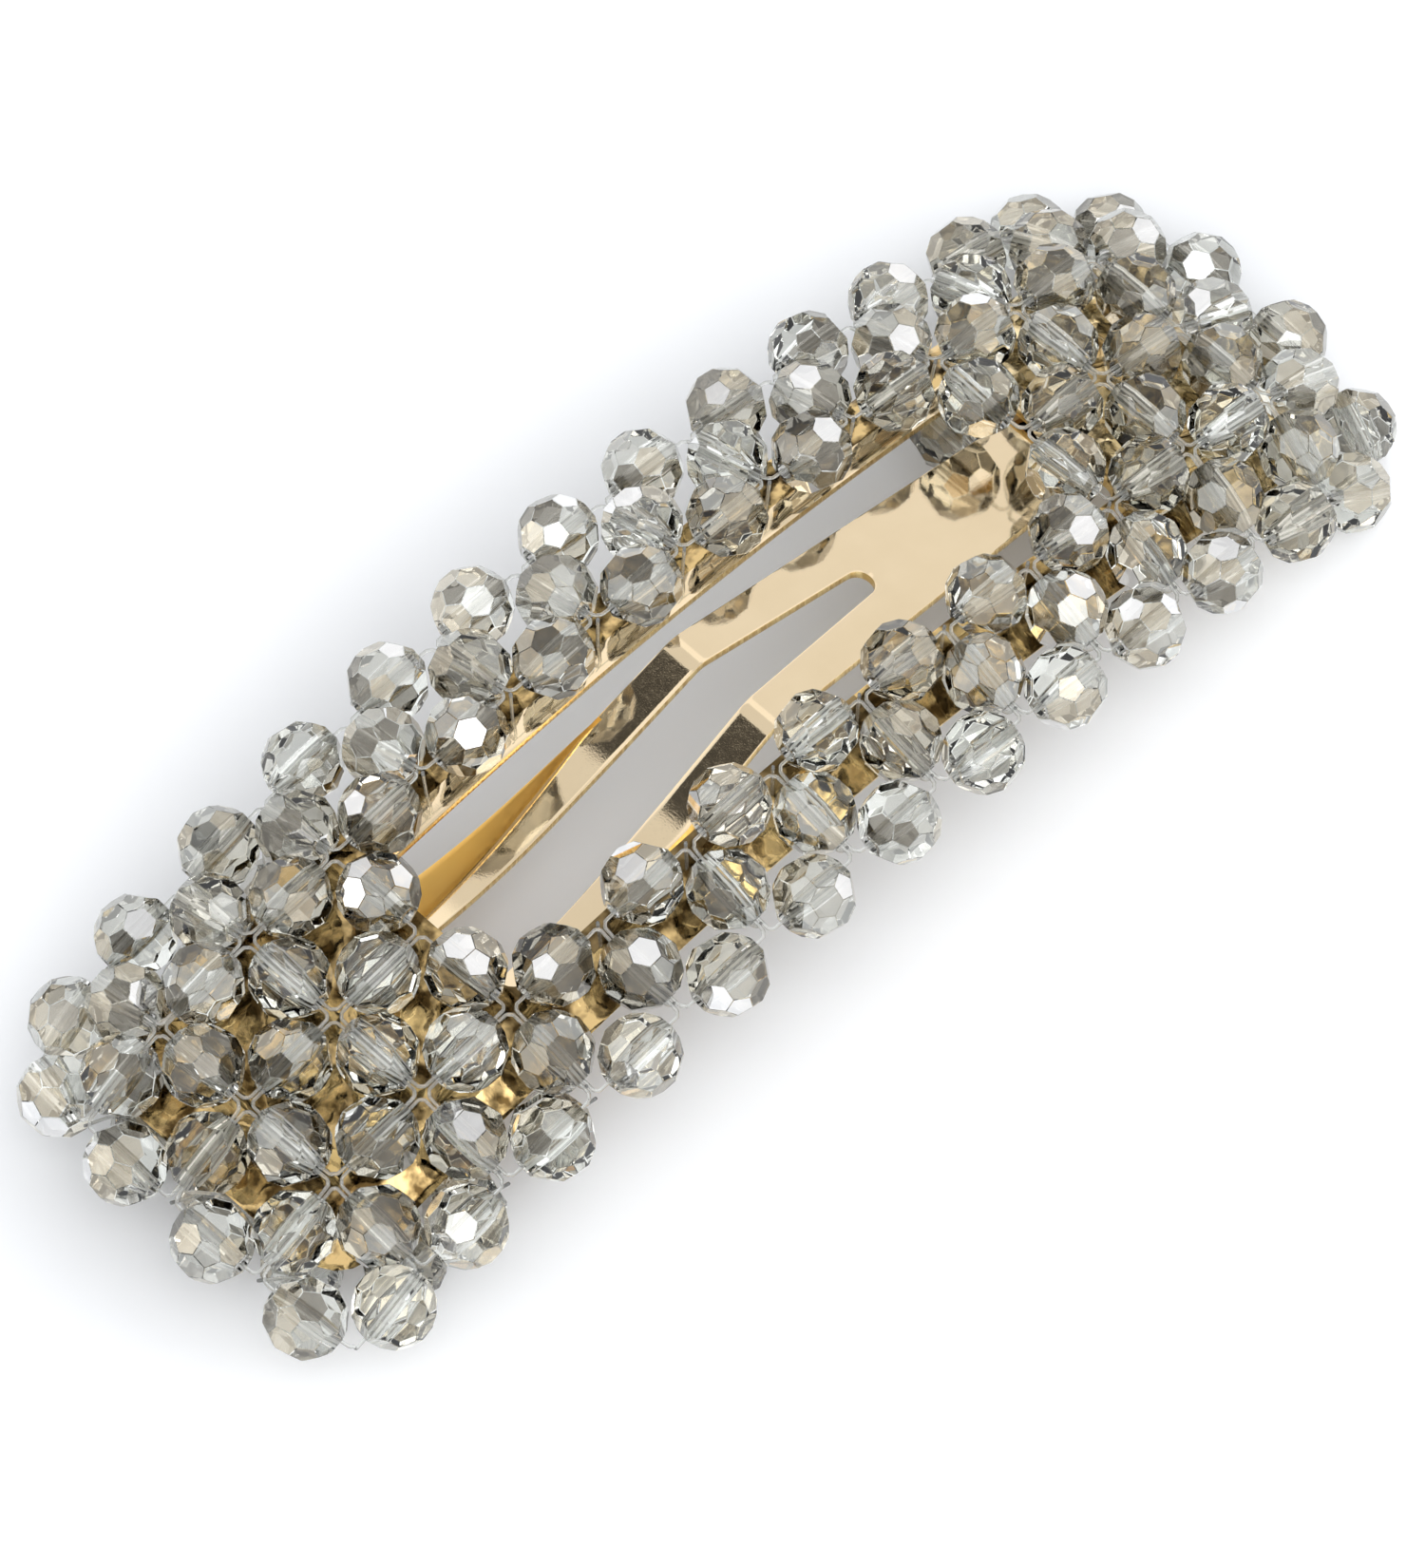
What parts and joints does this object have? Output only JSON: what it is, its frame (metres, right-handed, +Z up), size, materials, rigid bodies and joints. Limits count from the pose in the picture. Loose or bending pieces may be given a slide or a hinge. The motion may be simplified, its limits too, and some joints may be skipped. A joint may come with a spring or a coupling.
{
  "type": "beaded snap hair clip",
  "caption": "Large rectangular snap hair clip: gold sprung sheet-metal frame and tongue under a woven carpet of faceted glass beads.",
  "frame": {"origin": "middle of the under side of the whole clip, at the height where its lowest beads rest", "axes": "+X from the loose tail end to the riveted head end, +Y towards the left rail, +Z up, away from the hair"},
  "size_m": [0.0936, 0.0322, 0.0166],
  "materials": {
    "gold_sheet": "light gold plating on sprung sheet, mirror polished",
    "gold_rivet": "gold plated, satin",
    "clear_glass": "faceted crystal with a half coating of champagne mirror",
    "smoked_glass": "faceted crystal, slightly smoky, with a half coating of silver mirror"
  },
  "bodies": {
    "clip": {"frame": "gold_sheet", "tongue_root": "gold_sheet", "rivet_left": "gold_rivet", "rivet_right": "gold_rivet", "row_left_outer": "clear_glass", "row_left_inner": "clear_glass", "row_right_inner": "clear_glass", "row_right_outer": "clear_glass", "row_centre_tail": "clear_glass", "row_centre_head": "clear_glass", "cross_00": "smoked_glass", "cross_01": "smoked_glass", "cross_02": "smoked_glass", "cross_03": "smoked_glass", "cross_04_left": "smoked_glass", "cross_04_right": "smoked_glass", "cross_05_left": "smoked_glass", "cross_05_right": "smoked_glass", "cross_06_left": "smoked_glass", "cross_06_right": "smoked_glass", "cross_07_left": "smoked_glass", "cross_07_right": "smoked_glass", "cross_08_left": "smoked_glass", "cross_08_right": "smoked_glass", "cross_09_left": "smoked_glass", "cross_09_right": "smoked_glass", "cross_10": "smoked_glass", "cross_11": "smoked_glass", "cross_12": "smoked_glass", "cross_13": "smoked_glass", "skirt_end_left": "smoked_glass", "skirt_end_middle": "smoked_glass", "skirt_end_right": "smoked_glass", "skirt_left_1": "smoked_glass", "skirt_right_1": "smoked_glass", "skirt_left_2": "smoked_glass", "skirt_right_2": "smoked_glass", "skirt_left_3": "smoked_glass", "skirt_right_3": "smoked_glass"},
    "tongue": {"tongue": "gold_sheet"}
  },
  "joints": [
    {"name": "tongue_flex", "type": "hinge", "parent": "clip", "child": "tongue", "pos_m": [0.02865, 0, 0.00635], "axis": [0, -1, 0], "range_deg": [0, 16], "stiffness_Nm_per_rad": 0.2}
  ]
}
